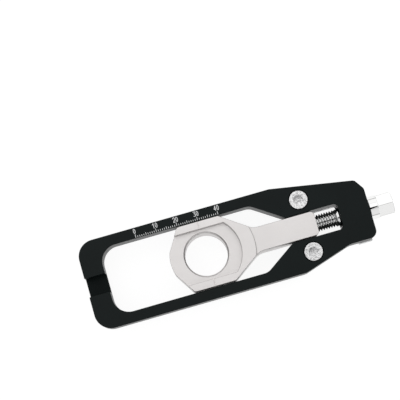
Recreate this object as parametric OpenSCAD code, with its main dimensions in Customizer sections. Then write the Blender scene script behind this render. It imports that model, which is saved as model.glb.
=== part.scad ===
// Chain adjuster for a motorcycle's rear axle: a black plate with a window, a slider
// that carries the axle, and a screw that draws the slider along the plate.
// Millimetres. The screw lies along X, with its hex head at +X. The graduated rail is
// at +Y and the front face looks along +Z. The origin is on the axis of the axle bore,
// in the plane of the plate's back face, with the slider at 29.6 on the scale.

/* [Travel] */
// Slide of the slider from its drawn place away from the screw's head, down to mark 0
travel_out = 29.6; // [20:0.1:34]
// Slide of the slider from its drawn place towards the screw's head, up to the last mark
travel_in = 10.4; // [6:0.1:15]
// Room left between the slider and the window's closed end at mark 0
window_gap = 1.1; // [1:0.1:4]
// Room left between the slider and the collar at the last mark
stop_gap = 0.15; // [0.1:0.05:1]

/* [Plate] */
// Thickness of the plate
plate_t = 12; // [11.5:0.5:16]
// Width of the window between its two rails
window_w = 32.4; // [31:0.2:38]
// Width of each rail beside the window
rail_w = 5.15; // [4.75:0.05:8]
// Thickness of the wall at the window's closed end
end_wall = 10.1; // [8:0.1:16]
// Thickness of the wall that the screw passes through
nose_wall = 14.2; // [10:0.2:20]
// Radius of the plate's outer corners at the closed end
plate_corner_r = 8; // [3:0.5:10]
// Radius of the window's corners at the closed end
window_corner_r = 8; // [5:0.5:9]
// Straight stretch of window past the slider's flat at the last mark
bend_gap = 5.1; // [4:0.1:7]
// Radius where the window's sides turn in towards the tongue slot
bend_r = 6; // [2:0.5:10]
// Angle at which the window narrows to the tongue slot
funnel_angle = 34; // [30:1:45]
// Radius of the corners at the end of the tongue slot
slot_end_r = 2.2; // [1:0.1:2.4]

/* [Plate nose] */
// Angle at which the upper edge falls towards the nose
upper_slope = 10; // [6:0.5:11]
// Length of the cut across the upper corner of the nose, along the screw
upper_cut_l = 3.3; // [1:0.1:5]
// Height of the cut across the upper corner of the nose
upper_cut_h = 4.3; // [1:0.1:6]
// Radius of the two soft ends of that cut
upper_cut_r = 2.5; // [1:0.5:4]
// Distance of the lower edge of the nose from the screw's axis
lower_nose_y = 14.1; // [13:0.1:17]
// Length of the straight lower edge of the nose
lower_nose_l = 13.5; // [8:0.5:16]
// Radius of the lower corner of the nose
lower_nose_r = 3.5; // [1:0.5:6]
// Start of the upper slope ahead of the cap screws
upper_shoulder = 12.05; // [8:0.5:16]
// Start of the lower slope ahead of the cap screws
lower_shoulder = 5.65; // [3:0.5:10]
// Radius of the soft bends where the two slopes start and end
shoulder_r = 8; // [2:1:14]

/* [End groove] */
// Width of the groove across the closed end
groove_w = 9; // [6:0.5:12]
// Depth of the groove from the front face
groove_depth = 8.5; // [5:0.5:9]

/* [Slider] */
// Diameter of the axle bore
bore_d = 20.2; // [17.2:1:20.2]
// Chamfer on both edges of the axle bore
bore_chamfer = 0.5; // [0.2:0.1:0.8]
// Reach of the head's rounded back from the bore's axis
head_reach = 17.3; // [16.5:0.1:20]
// Half the height of the head's rounded back
back_half = 5.4; // [4:0.2:7]
// Half the length of the flats that run on the rails
flat_half = 10; // [8:0.2:12]
// Clearance between each flat and its rail
head_gap = 0.5; // [0.2:0.05:0.6]
// Angle of the head's shoulders, from the flats down to the tongue
head_slope = 35; // [30:0.5:36]
// Radius of the hollow where each shoulder runs into the tongue
neck_r = 8; // [4:1:12]
// Rounding of the corners where the head's flats meet its rounded back
back_corner_r = 2; // [0.4:0.1:2]
// Rounding of the small corners on the head's shoulders and at the slot's mouth
small_r = 0.8; // [0.4:0.1:1.2]
// Rounding of the two corners at the tongue's end
tongue_end_r = 2; // [1:0.25:2.5]
// Distance from the bore's axis to the tongue's end
tongue_reach = 53.7; // [50:0.1:60]
// Width of the tongue
tongue_w = 11.4; // [11.2:0.2:13]
// Clearance between each side of the tongue and the slot
slot_gap = 0.5; // [0.1:0.05:0.6]
// How far the slider stands behind the plate's back face
slider_back = 5; // [3:0.5:8]
// How far the tongue stands proud of the plate's front face
tongue_rise = 0.75; // [0.5:0.25:3]
// Step from the tongue up to the head
head_step = 0.75; // [0.25:0.25:2]
// Radius of the arc at which the head steps down to the tongue
head_step_r = 23.5; // [22:0.1:26]
// Radius of the round end of the pocket in the head
pocket_r = 16.8; // [15:0.2:18]
// Width of the pocket between the two flanges
pocket_w = 24.2; // [22:0.2:26]
// Depth of the pocket below the head's top
pocket_depth = 3; // [1:0.25:3.5]
// Width of the index line across each flange
index_w = 0.5; // [0.2:0.05:0.8]
// Depth of the index line
index_depth = 0.35; // [0.1:0.05:0.5]

/* [Adjuster screw] */
// Outer diameter of the thread
thread_d = 8; // [6:1:8]
// Pitch of the thread
pitch = 1.25; // [1:0.05:1.5]
// Radial room round the thread in the slider's hole
thread_gap = 0.1; // [0.05:0.05:0.3]
// Radial running clearance of the shank in the plate's nose
shank_gap = 0.06; // [0.02:0.01:0.09]
// Wall left between the axle bore and the bottom of the slider's hole
hole_web = 1.1; // [0.8:0.1:2]
// Room left past the screw's tip at the last mark
tip_gap = 0.2; // [0.1:0.1:1]
// How far the flange stands out round the shank
flange_lip = 1.65; // [1:0.05:2.5]
// Length of the flange
flange_l = 4.3; // [2:0.1:6]
// Size of the hex across its flats
hex_af = 10; // [8:1:13]
// Length of the hex
hex_l = 7.1; // [5:0.1:10]
// Chamfer round the corners at the end of the hex
hex_chamfer = 0.5; // [0.4:0.1:1]
// Turn of the hex's upper corner from straight up, in degrees
hex_turn = 5; // [0:1:30]
// End play of the screw between its flange and its collar
end_play = 0.05; // [0.02:0.01:0.2]

/* [Retaining collar] */
// Thickness of the collar
collar_t = 1.15; // [0.8:0.05:2]
// How far the collar stands out round the shank
collar_lip = 0.9; // [0.6:0.1:1.2]
// Bevel on the side of the collar that bears on the slot's end
collar_bevel = 0.6; // [0.5:0.05:0.7]
// Depth of the groove that holds the collar
collar_groove = 0.8; // [0.4:0.1:1.2]
// Radial clearance of the collar in its groove
collar_gap = 0.02; // [0.01:0.01:0.1]
// Width of the gap that lets the collar spring open
collar_mouth = 4; // [2:0.5:5]

/* [Cap screws] */
// Diameter of the head
cap_head_d = 9; // [8:0.5:10]
// Height of the head
cap_head_h = 5; // [3:0.5:5]
// Bevel round the top of the head
cap_bevel = 0.3; // [0.1:0.1:0.6]
// How far the head lies below the plate's front face
cap_sink = 0.1; // [0:0.1:1]
// Size of the hex socket across its flats
socket_af = 4; // [3:0.5:5]
// Depth of the hex socket
socket_depth = 2.5; // [1.5:0.25:3]
// Diameter of the shank
cap_shank_d = 5; // [4:0.5:5]
// Length of the shank under the head
cap_shank_l = 10; // [8:1:11]
// Radial room round the head in its counterbore
cap_head_gap = 0.2; // [0.2:0.05:0.6]
// Radial room round the shank in the plate
cap_shank_gap = 0.25; // [0.1:0.05:0.4]
// Radial room round the shank in the rear block
cap_thread_gap = 0.05; // [0.02:0.01:0.1]
// Wall left between the tongue slot and each counterbore
slot_web = 1.8; // [1:0.1:2.5]
// Distance from the plate's nose back to the cap screws
cap_setback = 31.05; // [26:0.5:33]

/* [Rear block] */
// Wall of the block round each cap screw
block_wall = 2.05; // [1:0.05:2.4]
// Clearance between the tongue and the slot in the block
block_slot_gap = 0.4; // [0.2:0.1:1]
// Start of the block ahead of the cap screws
block_front = 6.85; // [5:0.5:7]
// Stretch of full width behind the cap screws
block_shoulder = 5.5; // [4:0.5:6]
// Half the width of the block under the plate's nose
block_nose_half = 12.6; // [9:0.2:12.8]
// How far the block stops short of the plate's nose
block_inset = 1; // [1:0.2:6]
// Radius of the block's corners
block_corner_r = 1.5; // [0.5:0.25:1.5]
// Length of the lip that shows past the plate's lower edge
lip_l = 6.5; // [4:0.5:8]
// How far the lip stands past the plate's lower edge
lip_rise = 0.4; // [0.2:0.1:2.5]
// How far the lip stops short of the block's end
lip_inset = 0.5; // [0.5:0.1:3]

/* [Scale] */
// Distance of the marks from the rail's inner edge
mark_inset = 0.3; // [0.2:0.1:0.8]
// Length of the mark at each millimetre
mark_short = 0.8; // [0.4:0.1:1]
// Length of the mark at each five millimetres
mark_middle = 1.2; // [0.8:0.1:1.4]
// Length of the mark at each ten millimetres
mark_long = 1.6; // [1.2:0.1:1.8]
// Width of a mark
mark_w = 0.25; // [0.1:0.05:0.4]
// Space between the longest marks and the numbers
number_gap = 0.3; // [0.2:0.1:0.8]
// Space between the numbers and the rail's outer edge
number_margin = 0.5; // [0.1:0.1:0.6]
// Width of one numeral
number_w = 1.1; // [0.8:0.1:1.6]
// Space between two numerals
number_space = 0.25; // [0.2:0.05:0.6]
// Width of the numerals' strokes
stroke_w = 0.3; // [0.15:0.05:0.4]
// Thickness of the white marks on the face
mark_t = 0.04; // [0.02:0.01:0.1]

/* [Hidden] */

PLATE_BLACK = [0.11, 0.125, 0.13];
SLIDER_SILVER = [0.84, 0.82, 0.81];
SCREW_STEEL = [0.86, 0.87, 0.88];
BLOCK_SILVER = [0.78, 0.78, 0.78];
MARK_WHITE = [0.95, 0.95, 0.95];

// Smoothness of bores and turned faces, and degrees per step of a rounded corner
$fn = 96;
arc_step = 7.5;
// Extra length of a cut past the face that it opens
past = 1;

// Window and slider along X
window_left = -(head_reach + travel_out + window_gap);
plate_left = window_left - end_wall;
window_half = window_w / 2;
head_half = window_half - head_gap;
plate_half = window_half + rail_w;
tongue_half = tongue_w / 2;
slot_half = tongue_half + slot_gap;
bend_x = flat_half + travel_in + bend_gap;
funnel_end = bend_x + (window_half - slot_half) / tan(funnel_angle);
collar_front = tongue_reach + travel_in + stop_gap;
slot_end = collar_front + collar_t + end_play;
plate_right = slot_end + nose_wall;
screw_z = plate_t / 2;

// Heights of the slider
tongue_top = plate_t + tongue_rise;
head_top = tongue_top + head_step;
pocket_floor = head_top - pocket_depth;
neck_x = flat_half + (head_half - tongue_half) / tan(head_slope);
back_angle = asin(back_half / head_reach);

// Screw
shank_r = thread_d / 2;
thread_depth = 0.6134 * pitch;
hole_bottom = bore_d / 2 + hole_web;
tip_x = hole_bottom + travel_in + tip_gap;
thread_l = collar_front - tip_x - pitch;
turns = floor(thread_l / pitch);
flange_x = plate_right + end_play;
hex_x = flange_x + flange_l;
screw_end = hex_x + hex_l;
collar_r = shank_r + collar_lip;
groove_r = shank_r - collar_groove;

// Cap screws
cap_head_r = cap_head_d / 2;
counterbore_r = cap_head_r + cap_head_gap;
cap_x = plate_right - cap_setback;
cap_y = slot_half + slot_web + counterbore_r;
cap_top = plate_t - cap_sink;
cap_seat = cap_top - cap_head_h;

// Rear block
block_half = cap_y + cap_shank_d / 2 + block_wall;
block_left = cap_x - block_front;
block_right = plate_right - block_inset;
block_bend = cap_x + block_shoulder;
lip_end = block_right - lip_inset;

// Scale
scale_top = travel_out + travel_in;
mark_y = window_half + mark_inset;
number_y = mark_y + mark_long + number_gap;
number_h = plate_half - number_margin - number_y;

function unit(v) = v / norm(v);
function flat(p) = [p.x, p.y];
function turned(v, a) = [v.x * cos(a) - v.y * sin(a), v.x * sin(a) + v.y * cos(a)];

// The points of one corner [x, y, radius] between its two neighbours
function corner(before, here, after) =
    here.z == 0 ? [flat(here)] :
    let (
        a = unit(flat(before) - flat(here)),
        b = unit(flat(after) - flat(here)),
        angle = acos(a * b),
        centre = flat(here) + unit(a + b) * here.z / sin(angle / 2),
        start = flat(here) + a * here.z / tan(angle / 2),
        way = sign(a.y * b.x - a.x * b.y),
        sweep = 180 - angle,
        steps = max(2, ceil(sweep / arc_step))
    )
    [for (k = [0:steps]) centre + turned(start - centre, way * sweep * k / steps)];

// An outline from corners [x, y, radius], each rounded by its own radius
function rounded(corners) =
    let (n = len(corners))
    [for (i = [0:n - 1]) each corner(corners[(i + n - 1) % n], corners[i], corners[(i + 1) % n])];

// Corners given for +Y, followed by their mirror images at -Y in reverse order
function both_sides(half) =
    [each half, for (i = [len(half) - 1:-1:0]) [half[i].x, -half[i].y, half[i].z]];

// A solid of revolution about a line along X at height z, from [x, radius] points
module turned_along_x(z, profile) {
    translate([0, 0, z])
        rotate([0, 90, 0])
            rotate_extrude()
                polygon([for (p = profile) [p[1], p[0]]]);
}

// A cylinder along X from one place to another
module rod_x(from, to, r, z) {
    translate([from, 0, z])
        rotate([0, 90, 0])
            cylinder(h = to - from, r = r);
}

module plate_outline() {
    upper_nose_y = plate_half - (plate_right - cap_x + upper_shoulder) * tan(upper_slope);
    polygon(rounded([
        [plate_left, -plate_half, plate_corner_r],
        [cap_x - lower_shoulder, -plate_half, shoulder_r],
        [plate_right - lower_nose_l, -lower_nose_y, shoulder_r],
        [plate_right, -lower_nose_y, lower_nose_r],
        [plate_right, upper_nose_y - upper_cut_h, upper_cut_r],
        [plate_right - upper_cut_l, upper_nose_y + upper_cut_l * tan(upper_slope), upper_cut_r],
        [cap_x - upper_shoulder, plate_half, shoulder_r],
        [plate_left, plate_half, plate_corner_r]
    ]));
}

module window_outline() {
    polygon(rounded(both_sides([
        [window_left, window_half, window_corner_r],
        [bend_x, window_half, bend_r],
        [funnel_end, slot_half, small_r],
        [slot_end, slot_half, slot_end_r]
    ])));
}

// Repeats its children at the two cap screws
module at_cap_screws() {
    for (side = [-1, 1])
        translate([cap_x, side * cap_y, 0])
            children();
}

module body_plate() {
    color(PLATE_BLACK)
        difference() {
            linear_extrude(plate_t)
                plate_outline();
            translate([0, 0, -past])
                linear_extrude(plate_t + 2 * past)
                    window_outline();
            translate([plate_left - past, -groove_w / 2, plate_t - groove_depth])
                cube([end_wall + 2 * past, groove_w, groove_depth + past]);
            rod_x(slot_end - past, plate_right + past, shank_r + shank_gap, screw_z);
            at_cap_screws() {
                translate([0, 0, cap_seat])
                    cylinder(h = plate_t, r = counterbore_r);
                translate([0, 0, -past])
                    cylinder(h = plate_t, r = cap_shank_d / 2 + cap_shank_gap);
            }
        }
}

// One stroke of a numeral along a line of points, with round ends
module stroke(points) {
    for (i = [0:len(points) - 2]) {
        run = points[i + 1] - points[i];
        translate(points[i])
            rotate(atan2(run.y, run.x))
                translate([0, -stroke_w / 2])
                    square([norm(run), stroke_w]);
    }
    for (p = points)
        translate(p)
            circle(d = stroke_w, $fn = 12);
}

// An upright oval ring
module oval() {
    mid = [number_w, number_h] / 2;
    difference() {
        polygon([for (a = [0:15:345])
            mid + [mid.x * cos(a), mid.y * sin(a)]]);
        polygon([for (a = [0:15:345])
            mid + [(mid.x - stroke_w) * cos(a), (mid.y - stroke_w) * sin(a)]]);
    }
}

// Strokes of the numerals 1 to 4, as shares of a numeral's width and height
NUMERALS = [
    [[0.15, 0.7], [0.6, 0.94], [0.6, 0.06]],
    [[0.12, 0.75], [0.35, 0.94], [0.7, 0.94], [0.88, 0.72], [0.78, 0.48], [0.12, 0.06], [0.88, 0.06]],
    [[0.12, 0.94], [0.85, 0.94], [0.48, 0.58], [0.85, 0.44], [0.85, 0.2], [0.6, 0.06], [0.12, 0.12]],
    [[0.7, 0.06], [0.7, 0.94], [0.12, 0.32], [0.9, 0.32]]
];

module numeral(n) {
    if (n == 0)
        oval();
    else
        stroke([for (p = NUMERALS[n - 1]) [p.x * number_w, p.y * number_h]]);
}

// The number of tens at one mark, centred on it
module mark_number(tens) {
    pair_w = 2 * number_w + number_space;
    if (tens == 0)
        translate([-number_w / 2, 0])
            numeral(0);
    else {
        translate([-pair_w / 2, 0])
            numeral(tens);
        translate([pair_w / 2 - number_w, 0])
            numeral(0);
    }
}

module scale_marks() {
    color(MARK_WHITE)
        translate([-travel_out, 0, plate_t])
            linear_extrude(mark_t) {
                for (n = [0:scale_top]) {
                    long = n % 10 == 0 ? mark_long : n % 5 == 0 ? mark_middle : mark_short;
                    translate([n - mark_w / 2, mark_y])
                        square([mark_w, long]);
                }
                for (tens = [0:floor(scale_top / 10)])
                    translate([10 * tens, number_y])
                        mark_number(tens);
            }
}

module slider_outline() {
    steps = ceil(back_angle / arc_step);
    back = [for (k = [steps:-1:-steps])
        let (a = back_angle * k / steps)
        [-head_reach * cos(a), head_reach * sin(a), 0]];
    side = [
        [-flat_half, head_half, back_corner_r],
        [flat_half, head_half, small_r],
        [neck_x, tongue_half, neck_r],
        [tongue_reach, tongue_half, tongue_end_r]
    ];
    polygon(rounded([each back, each [for (p = side) [p.x, -p.y, p.z]],
                     for (i = [len(side) - 1:-1:0]) side[i]]));
}

// The pocket in the head: round towards the tongue, open at the back
module pocket() {
    translate([0, 0, pocket_floor])
        intersection() {
            union() {
                cylinder(h = pocket_depth + past, r = pocket_r);
                translate([-head_reach - past, -pocket_r, 0])
                    cube([head_reach + past, 2 * pocket_r, pocket_depth + past]);
            }
            translate([-head_reach - past, -pocket_w / 2, -past])
                cube([head_reach + pocket_r + 2 * past, pocket_w, pocket_depth + 3 * past]);
        }
}

// The axle bore with a chamfer at the pocket's floor and at the back
module axle_bore() {
    r = bore_d / 2;
    translate([0, 0, -slider_back - past])
        rotate_extrude()
            polygon([
                [0, 0],
                [r + bore_chamfer + past, 0],
                [r, bore_chamfer + past],
                [r, slider_back + pocket_floor + past - bore_chamfer],
                [r + bore_chamfer + past, slider_back + pocket_floor + 2 * past],
                [0, slider_back + pocket_floor + 2 * past]
            ]);
}

module slider() {
    color(SLIDER_SILVER)
        difference() {
            union() {
                translate([0, 0, -slider_back])
                    linear_extrude(slider_back + tongue_top)
                        slider_outline();
                intersection() {
                    translate([0, 0, -slider_back])
                        linear_extrude(slider_back + head_top)
                            slider_outline();
                    translate([0, 0, -slider_back])
                        cylinder(h = slider_back + head_top, r = head_step_r);
                }
            }
            pocket();
            axle_bore();
            rod_x(hole_bottom, tongue_reach + past, shank_r + thread_gap, screw_z);
            translate([-index_w / 2, -plate_half, head_top - index_depth])
                cube([index_w, 2 * plate_half, index_depth + past]);
        }
}

// The screw's turned profile from its tip to the hex, with the thread as close rings
module screw_profile() {
    root_r = shank_r - thread_depth;
    flank = pitch * 5 / 16;
    root_l = pitch / 4;
    crest_l = pitch / 8;
    turned_along_x(screw_z, [
        [tip_x, 0],
        [tip_x, root_r],
        for (k = [0:turns - 1])
            let (x = tip_x + k * pitch)
            each [[x + root_l, root_r], [x + root_l + flank, shank_r],
                  [x + root_l + flank + crest_l, shank_r], [x + pitch, root_r]],
        [tip_x + turns * pitch + thread_depth, shank_r],
        [collar_front, shank_r],
        [collar_front, groove_r],
        [collar_front + collar_t, groove_r],
        [collar_front + collar_t, shank_r],
        [flange_x, shank_r],
        [flange_x, shank_r + flange_lip],
        [hex_x, shank_r + flange_lip],
        [hex_x, 0]
    ]);
}

module adjuster_screw() {
    corner_r = hex_af / 2 / cos(30);
    color(SCREW_STEEL)
        union() {
            screw_profile();
            intersection() {
                translate([hex_x - past, 0, screw_z])
                    rotate([0, 90, 0])
                        rotate([0, 0, hex_turn])
                            cylinder(h = hex_l + past, r = corner_r, $fn = 6);
                turned_along_x(screw_z, [
                    [hex_x - past, 0],
                    [hex_x - past, corner_r + past],
                    [screw_end - hex_chamfer / 2, corner_r + past - hex_chamfer],
                    [screw_end - hex_chamfer / 2, corner_r],
                    [screw_end, corner_r - hex_chamfer],
                    [screw_end, 0]
                ]);
            }
        }
}

module retaining_collar() {
    bore_r = groove_r + collar_gap;
    back = collar_front + collar_t;
    color(SCREW_STEEL)
        difference() {
            turned_along_x(screw_z, [
                [collar_front, bore_r],
                [collar_front, collar_r],
                [back - collar_bevel, collar_r],
                [back, collar_r - collar_bevel],
                [back, bore_r]
            ]);
            translate([collar_front - past, -collar_mouth / 2, screw_z - collar_r - past])
                cube([collar_t + 2 * past, collar_mouth, collar_r + past]);
        }
}

module block_outline() {
    polygon(rounded([
        [block_left, -block_half, block_corner_r],
        [block_bend, -block_half, block_corner_r],
        [plate_right - lower_nose_l, -block_nose_half, block_corner_r],
        [lip_end - lip_l, -block_nose_half, 0],
        [lip_end - lip_l, -lower_nose_y - lip_rise, 0.3],
        [lip_end, -lower_nose_y - lip_rise, 0.3],
        [lip_end, -block_nose_half, 0],
        [block_right, -block_nose_half, 0],
        [block_right, block_nose_half, block_corner_r],
        [plate_right - lower_nose_l, block_nose_half, block_corner_r],
        [block_bend, block_half, block_corner_r],
        [block_left, block_half, block_corner_r]
    ]));
}

module rear_block() {
    color(BLOCK_SILVER)
        translate([0, 0, -slider_back])
            difference() {
                linear_extrude(slider_back)
                    block_outline();
                translate([block_left - past, -tongue_half - block_slot_gap, -past])
                    cube([slot_end - block_left + past, tongue_w + 2 * block_slot_gap,
                          slider_back + 2 * past]);
                at_cap_screws()
                    translate([0, 0, -past])
                        cylinder(h = slider_back + 2 * past, r = cap_shank_d / 2 + cap_thread_gap);
            }
}

module cap_screw(side) {
    shank_r = cap_shank_d / 2;
    color(SCREW_STEEL)
        translate([cap_x, side * cap_y, 0])
            difference() {
                rotate_extrude()
                    polygon([
                        [0, cap_seat - cap_shank_l],
                        [shank_r, cap_seat - cap_shank_l],
                        [shank_r, cap_seat],
                        [cap_head_r, cap_seat],
                        [cap_head_r, cap_top - cap_bevel],
                        [cap_head_r - cap_bevel, cap_top],
                        [0, cap_top]
                    ]);
                translate([0, 0, cap_top - socket_depth])
                    cylinder(h = socket_depth + past, r = socket_af / 2 / cos(30), $fn = 6);
            }
}

module cap_screw_upper() {
    cap_screw(1);
}

module cap_screw_lower() {
    cap_screw(-1);
}

body_plate();
scale_marks();
slider();
adjuster_screw();
retaining_collar();
rear_block();
cap_screw_upper();
cap_screw_lower();
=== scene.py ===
"""Dresses a motorcycle chain adjuster: a slotted plate, a sliding axle block and its screw.

Everything is in metres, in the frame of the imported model: the screw lies along X with
its hex head at +X, the graduated rail is at +Y and the front face looks along +Z.
"""
import math

import bmesh
import bpy
from mathutils import Matrix, Vector


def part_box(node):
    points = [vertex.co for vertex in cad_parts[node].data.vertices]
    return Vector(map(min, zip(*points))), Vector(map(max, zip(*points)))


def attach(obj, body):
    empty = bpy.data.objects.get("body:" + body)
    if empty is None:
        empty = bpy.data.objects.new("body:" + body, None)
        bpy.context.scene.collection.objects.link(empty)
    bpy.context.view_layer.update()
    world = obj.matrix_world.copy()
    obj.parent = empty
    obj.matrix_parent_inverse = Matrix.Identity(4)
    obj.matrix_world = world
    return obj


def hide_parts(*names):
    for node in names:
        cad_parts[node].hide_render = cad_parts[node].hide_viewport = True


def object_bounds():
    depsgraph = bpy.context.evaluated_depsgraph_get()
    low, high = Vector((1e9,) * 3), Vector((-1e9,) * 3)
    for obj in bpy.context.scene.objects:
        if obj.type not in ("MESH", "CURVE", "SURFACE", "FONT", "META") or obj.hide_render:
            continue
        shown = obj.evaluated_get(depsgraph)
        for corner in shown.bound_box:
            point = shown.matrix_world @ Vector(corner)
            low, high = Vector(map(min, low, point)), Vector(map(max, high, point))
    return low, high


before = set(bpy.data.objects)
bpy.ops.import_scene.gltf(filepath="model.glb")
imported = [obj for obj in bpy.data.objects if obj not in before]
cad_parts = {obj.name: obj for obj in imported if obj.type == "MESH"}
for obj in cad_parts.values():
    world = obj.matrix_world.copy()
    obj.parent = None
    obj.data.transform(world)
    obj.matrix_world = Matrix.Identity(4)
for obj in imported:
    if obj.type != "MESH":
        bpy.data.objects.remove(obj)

bl_info = {
    "name": "Chain Adjuster",
    "version": (1, 0, 0),
    "blender": (4, 5, 0),
    "location": "View3D > Sidebar > Chain Adjuster",
    "description": "Builds the machined pieces, finishes and stage of a chain adjuster",
    "category": "Add Mesh",
}

MM = 0.001
CAD_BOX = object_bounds()
PLATE_LOW, PLATE_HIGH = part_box("body_plate")
SLIDER_LOW, SLIDER_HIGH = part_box("slider")
SCREW_LOW, SCREW_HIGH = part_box("adjuster_screw")
COLLAR_LOW, COLLAR_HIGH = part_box("retaining_collar")
BLOCK_LOW, BLOCK_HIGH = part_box("rear_block")
CAP_LOW, CAP_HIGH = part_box("cap_screw_upper")

CAP_X = (CAP_LOW.x + CAP_HIGH.x) / 2
CAP_Y = (CAP_LOW.y + CAP_HIGH.y) / 2
SCREW_Z = (PLATE_LOW.z + PLATE_HIGH.z) / 2

# Extra length of a cut past the face that it opens
PAST = 1 * MM
# Angle covered by one step of a rounded corner, in degrees
ARC_STEP = 3.75
# Edges sharper than this stay sharp when a piece is shaded smooth
SHARP_ANGLE = math.radians(28)
# Steps round a turned face
TURN_STEPS = 96
# Points closer together than this are one
TIGHT = 1e-7
# Share of a face's normal along Z: more than LEVEL lies flat, less than UPRIGHT stands up
LEVEL = 0.9
UPRIGHT = 0.5


def length(name, description, default):
    """A size in metres."""
    return bpy.props.FloatProperty(
        name=name, description=description, default=default, min=0.0,
        subtype="DISTANCE", unit="LENGTH", precision=5)


def angle(name, description, degrees):
    """An angle, given in degrees."""
    return bpy.props.FloatProperty(
        name=name, description=description, default=math.radians(degrees),
        subtype="ANGLE", unit="ROTATION")


def share(name, description, default, top=1.0):
    """A plain number, such as a roughness."""
    return bpy.props.FloatProperty(
        name=name, description=description, default=default, min=0.0, max=top)


def colour(name, description, default):
    """A colour in linear light."""
    return bpy.props.FloatVectorProperty(
        name=name, description=description, default=default, size=3,
        min=0.0, max=1.0, subtype="COLOR")


def point(name, description, default):
    """A place in metres."""
    return bpy.props.FloatVectorProperty(
        name=name, description=description, default=default,
        subtype="TRANSLATION", unit="LENGTH")


class PlateSizes(bpy.types.PropertyGroup):
    """Sizes of the black plate."""

    window_half: length("Window half width", "Half the window's width", 16.2 * MM)
    end_wall: length("End wall", "Wall at the window's closed end", 10.1 * MM)
    nose_wall: length("Nose wall", "Wall that the screw passes through", 14.2 * MM)
    corner: length("Corner radius", "Outer corners at the closed end", 8 * MM)
    window_corner: length("Window corner", "Window corners at the closed end", 8 * MM)
    bend_x: length("Bend", "Where the window starts to narrow", 25.5 * MM)
    bend: length("Bend radius", "Bend where the window starts to narrow", 6 * MM)
    funnel: angle("Funnel angle", "Angle at which the window narrows", 34)
    slot_half: length("Slot half width", "Half the tongue slot's width", 6.2 * MM)
    slot_corner: length("Slot corner", "Corners at the end of the slot", 2.2 * MM)
    slope: angle("Upper slope", "Fall of the upper edge towards the nose", 10)
    nose_y: length("Nose lower edge", "Lower edge of the nose from the screw", 14.1 * MM)
    nose_run: length("Nose lower run", "Straight lower edge of the nose", 13.5 * MM)
    cut_length: length("Nose cut length", "Cut across the nose's upper corner, along X", 3.3 * MM)
    cut_height: length("Nose cut height", "Cut across the nose's upper corner, along Y", 4.3 * MM)
    cut_corner: length("Nose cut corners", "Radius of the cut's two soft ends", 2.5 * MM)
    lower_nose: length("Lower nose corner", "Radius of the nose's lower corner", 3.5 * MM)
    upper_shoulder: length("Upper shoulder", "Start of the upper slope", 12.05 * MM)
    lower_shoulder: length("Lower shoulder", "Start of the lower slope", 5.65 * MM)
    shoulder: length("Shoulder radius", "Soft bends of the two slopes", 8 * MM)
    groove_half: length("Groove half width", "Half the end groove's width", 4.5 * MM)
    groove_depth: length("Groove depth", "Depth of the end groove", 8.5 * MM)
    edge: length("Edge break", "Small chamfer on every machined edge", 0.22 * MM)


class SliderSizes(bpy.types.PropertyGroup):
    """Sizes of the sliding axle block."""

    bore: length("Bore radius", "Radius of the axle bore", 10.1 * MM)
    bore_edge: length("Bore chamfer", "Chamfer round the axle bore", 0.5 * MM)
    back_half: length("Back half height", "Half the height of the round back", 5.4 * MM)
    flat_half: length("Flat half length", "Half the length of the flats", 10 * MM)
    slope: angle("Shoulder angle", "Angle of the head's shoulders", 35)
    neck: length("Neck radius", "Hollow between shoulder and tongue", 8 * MM)
    back_corner: length("Back corner", "Corners between the flats and the back", 2 * MM)
    small: length("Small corner", "Rounding of the head's shoulders", 0.8 * MM)
    tongue_half: length("Tongue half width", "Half the tongue's width", 5.7 * MM)
    tongue_end: length("Tongue end corner", "Corners at the tongue's end", 2 * MM)
    step: length("Head step", "Step from the tongue up to the head", 0.75 * MM)
    step_radius: length("Step radius", "Arc at which the head steps down", 23.5 * MM)
    pocket: length("Pocket radius", "Round end of the pocket", 16.8 * MM)
    pocket_half: length("Pocket half width", "Half the pocket's width", 12.1 * MM)
    pocket_depth: length("Pocket depth", "Depth of the pocket", 3 * MM)
    index: length("Index width", "Width of the index line", 0.5 * MM)
    index_depth: length("Index depth", "Depth of the index line", 0.35 * MM)
    hole_end: length("Hole end", "Bottom of the screw's hole", 11.2 * MM)
    hole: length("Hole radius", "Radius of the screw's hole", 4.1 * MM)
    edge: length("Edge break", "Small chamfer on every machined edge", 0.15 * MM)


class ScrewSizes(bpy.types.PropertyGroup):
    """Sizes of the adjusting screw and its collar."""

    shank: length("Shank radius", "Radius of the thread and shank", 4 * MM)
    pitch: length("Pitch", "Pitch of the thread", 1.25 * MM)
    groove: length("Groove radius", "Radius under the collar", 3.2 * MM)
    flange: length("Flange radius", "Radius of the flange", 5.65 * MM)
    flange_run: length("Flange length", "Length of the flange", 4.3 * MM)
    end_play: length("End play", "Room between flange and nose", 0.05 * MM)
    bore_gap: length("Bore room", "Room round the shank in the nose", 0.06 * MM)
    thread_gap: length("Thread gap", "Plain stretch from the thread to the collar", 0.3 * MM)
    hex_flats: length("Hex", "Size of the hex across its flats", 10 * MM)
    hex_chamfer: length("Hex chamfer", "Chamfer at the hex's end", 0.5 * MM)
    hex_turn: angle("Hex turn", "Turn of the hex's upper corner from straight up", 5)
    collar: length("Collar radius", "Radius of the collar", 4.9 * MM)
    collar_gap: length("Collar room", "Room between the collar and its groove", 0.02 * MM)
    collar_bevel: length("Collar bevel", "Bevel at the collar's rim", 0.6 * MM)
    mouth: length("Collar mouth", "Gap that lets the collar spring open", 4 * MM)
    edge: length("Edge break", "Small chamfer on the turned edges", 0.25 * MM)


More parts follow.
